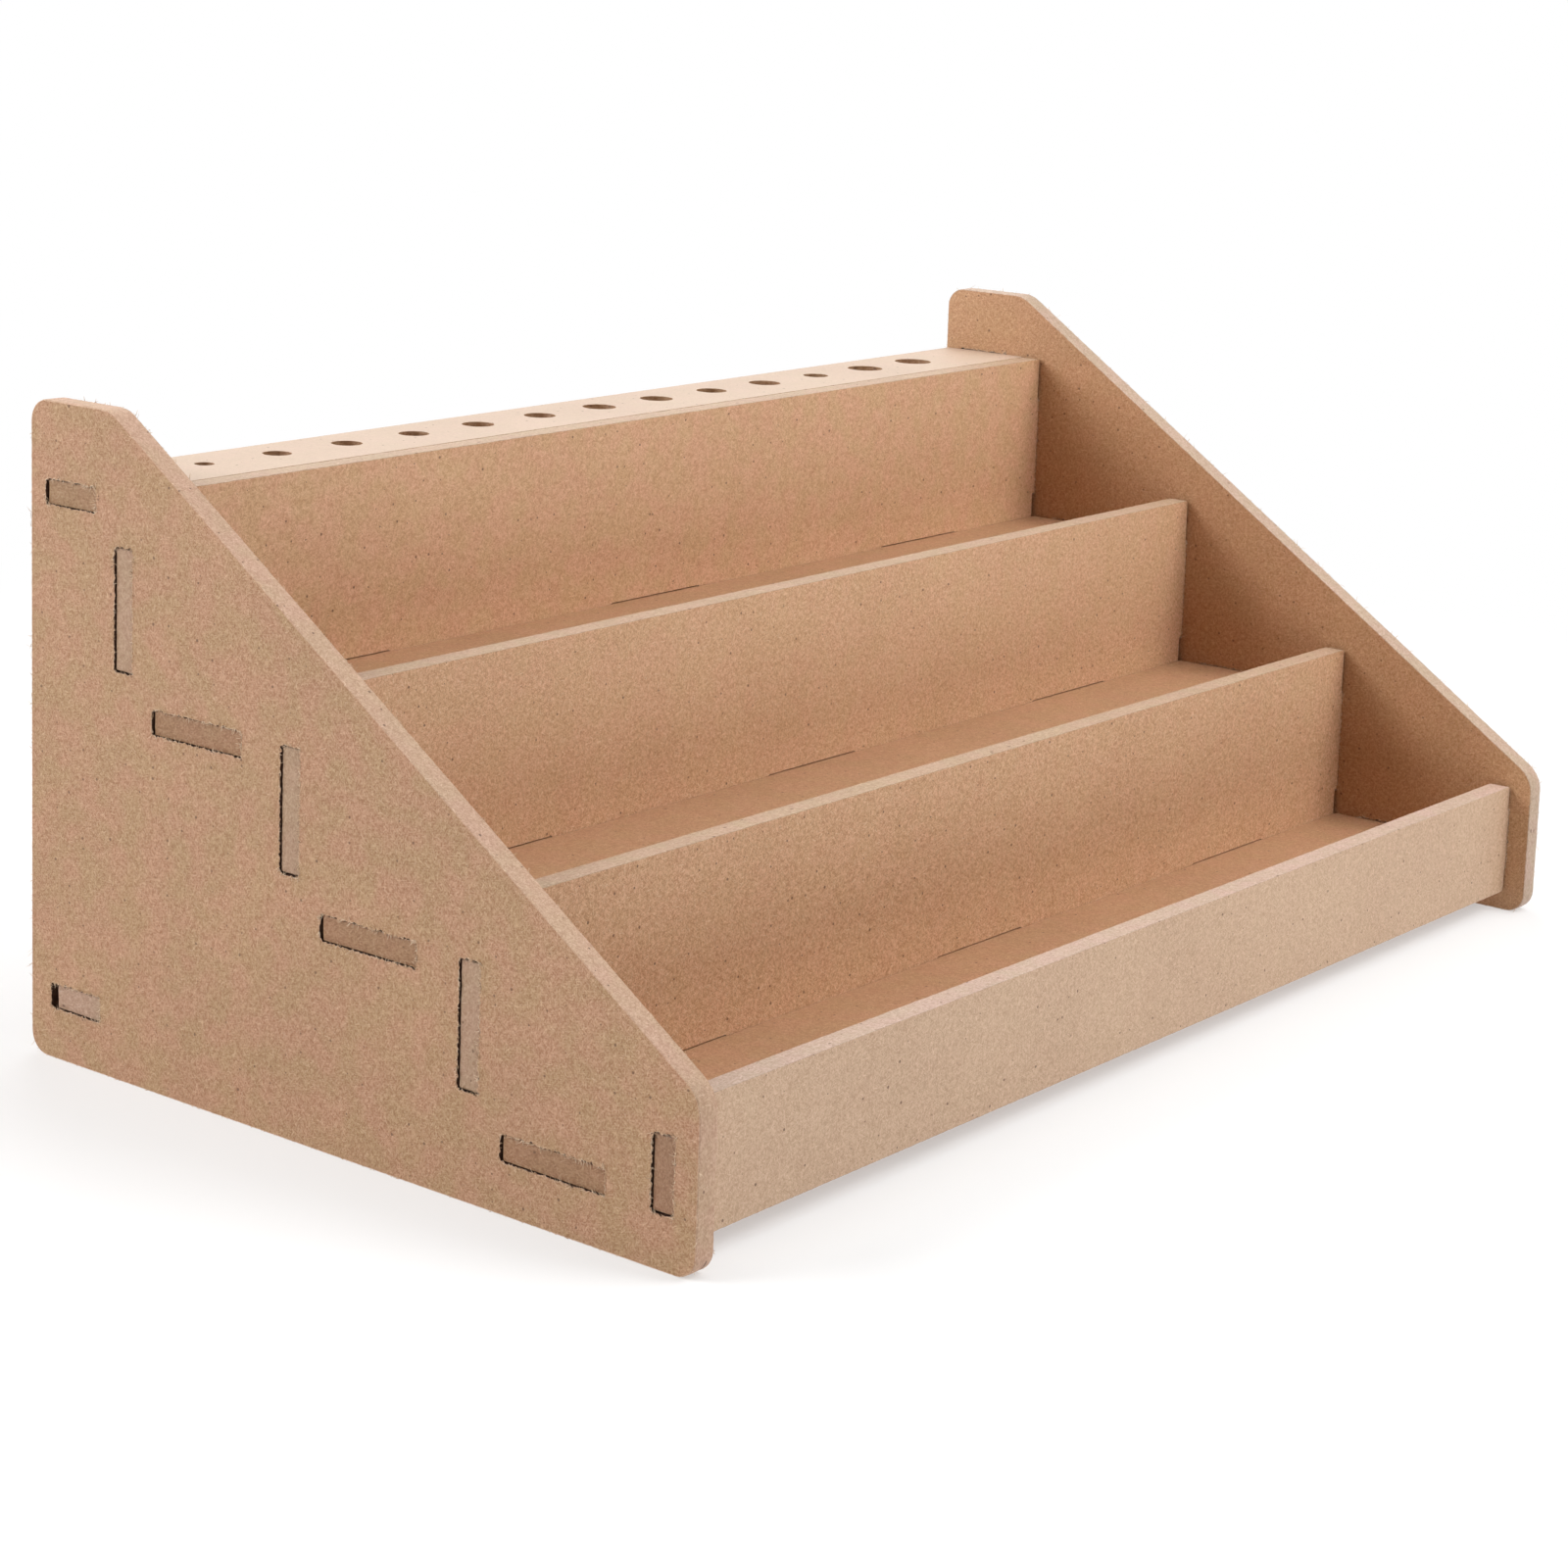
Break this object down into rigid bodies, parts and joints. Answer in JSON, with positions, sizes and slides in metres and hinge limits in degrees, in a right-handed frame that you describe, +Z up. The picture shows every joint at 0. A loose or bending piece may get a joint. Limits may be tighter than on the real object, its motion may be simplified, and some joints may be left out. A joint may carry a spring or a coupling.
{
  "type": "paint rack organizer",
  "caption": "Tiered desk rack of slotted fibreboard: stepped shelves for paint bottles and a drilled top shelf for brushes.",
  "frame": {"origin": "on the floor under the middle of the footprint", "axes": "+X along the rack to its right, seen from the low front; +Y from the low front to the tall back; +Z up"},
  "size_m": [0.31, 0.17, 0.131],
  "materials": {
    "side_board": "raw fibreboard, matt, fine fibre speckle",
    "lip_board": "raw fibreboard, matt, fine fibre speckle",
    "shelf_board": "raw fibreboard, matt, fine fibre speckle",
    "riser_board": "raw fibreboard, matt, fine fibre speckle",
    "top_board": "raw fibreboard, matt, fine fibre speckle"
  },
  "bodies": {
    "root": {"side_panel_left": "side_board", "side_panel_right": "side_board", "front_lip": "lip_board", "bottom_shelf": "shelf_board", "lower_riser": "riser_board", "middle_shelf": "shelf_board", "middle_riser": "riser_board", "upper_shelf": "shelf_board", "upper_riser": "riser_board", "brush_shelf": "top_board", "rear_crossbar": "shelf_board"}
  },
  "joints": []
}
